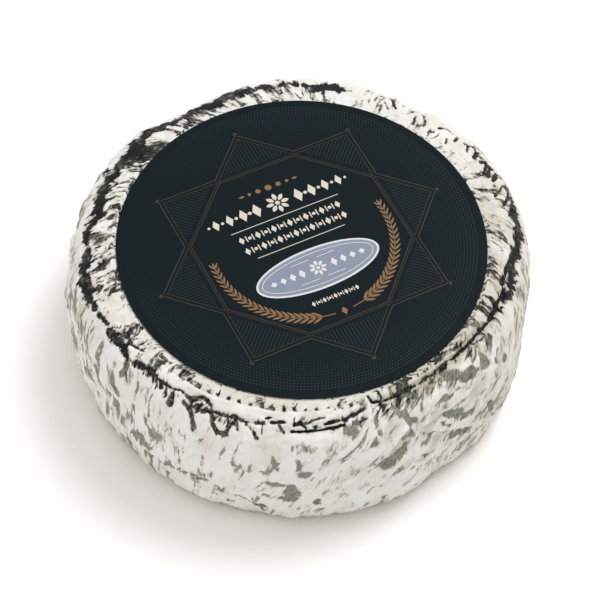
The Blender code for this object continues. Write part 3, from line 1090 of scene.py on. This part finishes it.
def lay_rosette(shape, u, v, radius):
    """Eight petals round a small disc."""
    for petal in range(8):
        turn = math.radians(45 * petal)
        start_u, start_v = u + radius * 0.28 * math.cos(turn), v + radius * 0.28 * math.sin(turn)
        lay(shape, leaf(start_u, start_v, turn, radius * 0.72, radius * 0.36))
    lay(shape, disc(u, v, radius * 0.2))


def lay_bead_row(shape, v, height, length):
    """A row of lozenges, each followed by a bar, a bead and a bar, from the middle to both ends."""
    pitch = height * 1.9
    count = int(length / 2 / pitch)
    for index in range(-count, count + 1):
        u = index * pitch
        lay(shape, lozenge(u, v, height * 0.62, height))
        if index < count:
            lay(shape, disc(u + pitch / 2, v, height * 0.2))
            for side in (1, -1):
                lay(shape, bar(u + pitch / 2 + side * height * 0.38, v, height * 0.13, height * 0.8))


def lay_cream(shape):
    """The rows of ornament, with a rosette in the top one, and the fine lines between them."""
    lay_rosette(shape, 0, TOP_ROW, 4.4)
    for side in (1, -1):
        for step, size in enumerate(TOP_ROW_SIZES):
            u = side * (8.2 + 5.3 * step)
            lay(shape, lozenge(u, TOP_ROW, 3.4 * size, 6.2 * size))
            lay(shape, disc(u + side * 2.75, TOP_ROW, 0.7 * size))
    for v, half_length in RULES:
        lay_line(shape, [(-half_length, v), (half_length, v)], RULE_WIDTH)
    for v, height, length in BEAD_ROWS:
        lay_bead_row(shape, v, height, length)


def lay_plaque_edge(shape):
    """The plaque's whole oval, of which the rim stays in sight."""
    lay(shape, oval(PLAQUE_HALF_WIDTH, PLAQUE_HALF_HEIGHT))


def lay_plaque_field(shape):
    """The plaque's oval inside its rim."""
    lay(shape, oval(PLAQUE_HALF_WIDTH - PLAQUE_EDGE, PLAQUE_HALF_HEIGHT - PLAQUE_EDGE))


def lay_plaque_white(shape):
    """The fine white lines and the ornament on the plaque."""
    inner = oval(PLAQUE_HALF_WIDTH - PLAQUE_LINE, PLAQUE_HALF_HEIGHT - PLAQUE_LINE)
    lay_line(shape, inner, PLAQUE_LINE_WIDTH, closed=True)
    lay_rosette(shape, 0, PLAQUE_MIDDLE, 3.3)
    for side in (1, -1):
        for step in range(4):
            lay(shape, lozenge(side * (6.2 + 3.6 * step), PLAQUE_MIDDLE, 2.4, 3.8 - 0.5 * step))
        for v in (PLAQUE_MIDDLE + 4.4, PLAQUE_MIDDLE - 4.4):
            lay_line(shape, [(side * 1.5, v), (side * 8.5, v)], PLAQUE_LINE_WIDTH)


def print_layer(name, lay_shapes, layer, material):
    """A layer of ink on the label, with its shapes turned as the label is."""
    shape = bmesh.new()
    lay_shapes(shape)
    place_on = Matrix.Translation((0, 0, LABEL_BOTTOM + LABEL_THICKNESS + INK_STEP * layer))
    turned = Matrix.Rotation(math.radians(PRINT_TURN), 4, "Z")
    shape.transform(place_on @ turned @ Matrix.Diagonal((MM, MM, 1, 1)))
    for face in shape.faces:
        face.normal_update()
        if face.normal.z < 0:
            face.normal_flip()
    mesh = bpy.data.meshes.new(name)
    shape.to_mesh(mesh)
    shape.free()
    place(name, mesh, material, soft=False)


def ink(name, code):
    """Printing ink on coated paper: one even colour, a little glossier than the paper."""
    material, _, shader = new_material(name, code, 0.4, 1.5)
    shader.inputs["Specular IOR Level"].default_value = 0.06
    return material


def paper_material():
    """Coated paper printed black all over: nearly black, with a soft and even sheen."""
    material, _, shader = new_material("black label paper", "111a1e", 0.45, 1.5)
    shader.inputs["Specular IOR Level"].default_value = 0.03
    return material


def make_print():
    """The label's print, a layer for each ink."""
    white = ink("white ink", "c2c3c8")
    print_layer("print_dots", lay_dots, 1, ink("halftone ink", "2d3a40"))
    print_layer("print_hatching", lay_hatching, 1, ink("faint grey ink", "2b3032"))
    print_layer("print_frame", lay_frame, 1, ink("dim copper ink", "3c342d"))
    print_layer("print_wreath", lay_wreath, 1, ink("copper ink", "7b5f45"))
    print_layer("print_cream", lay_cream, 1, ink("cream ink", "beb9ac"))
    print_layer("plaque_edge", lay_plaque_edge, 1, white)
    print_layer("plaque_field", lay_plaque_field, 2, ink("lavender ink", "7a8191"))
    print_layer("plaque_ornament", lay_plaque_white, 3, white)


# The stage


def make_floor():
    """A wide white table: matt board, which gives no reflection to speak of."""
    mesh = bpy.data.meshes.new("floor")
    reach = 3
    corners = [(-reach, -reach, 0), (reach, -reach, 0), (reach, reach, 0), (-reach, reach, 0)]
    mesh.from_pydata(corners, [], [(0, 1, 2, 3)])
    floor = bpy.data.objects.new("floor", mesh)
    bpy.context.scene.collection.objects.link(floor)
    material, _, shader = new_material("white table", "f5f5f5", 0.9, 1.45)
    shader.inputs["Specular IOR Level"].default_value = 0.1
    mesh.materials.append(material)


def light_up():
    """A white room, a soft light from behind on the right, and dim panels in front and on the left."""
    world = bpy.data.worlds.new("white room")
    world.use_nodes = True
    background = world.node_tree.nodes["Background"]
    background.inputs["Color"].default_value = colour("fffbf6")
    background.inputs["Strength"].default_value = 0.86
    bpy.context.scene.world = world
    for name, place_at, width, watts, code in LAMPS:
        light = bpy.data.lights.new(name, "AREA")
        light.shape = "DISK"
        light.size = width
        light.energy = watts
        light.color = colour(code)[:3]
        lamp = bpy.data.objects.new(name, light)
        lamp.location = place_at
        lamp.rotation_euler = (LABEL_CENTRE - lamp.location).to_track_quat("-Z", "Y").to_euler()
        bpy.context.scene.collection.objects.link(lamp)


def set_camera():
    """The photograph's camera, which looks down at the label and is rolled a little."""
    elevation = math.radians(CAMERA_ELEVATION)
    away = Vector((0, -math.cos(elevation), math.sin(elevation)))
    camera = bpy.data.objects.new("camera", bpy.data.cameras.new("camera"))
    camera.location = LABEL_CENTRE + away * CAMERA_DISTANCE
    aim = (CAMERA_AIM - camera.location).to_track_quat("-Z", "Y").to_matrix()
    roll = Matrix.Rotation(math.radians(CAMERA_ROLL), 3, "Z")
    camera.rotation_euler = (aim @ roll).to_euler()
    camera.data.angle = math.radians(CAMERA_ANGLE)
    camera.data.clip_start = 0.01
    bpy.context.scene.collection.objects.link(camera)
    bpy.context.scene.camera = camera


def main():
    """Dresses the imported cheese, and sets up its table, lights and camera."""
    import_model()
    make_rind(rind_material())
    make_label(paper_material())
    make_print()
    make_floor()
    light_up()
    set_camera()
    bpy.context.scene.view_settings.view_transform = "Standard"


main()
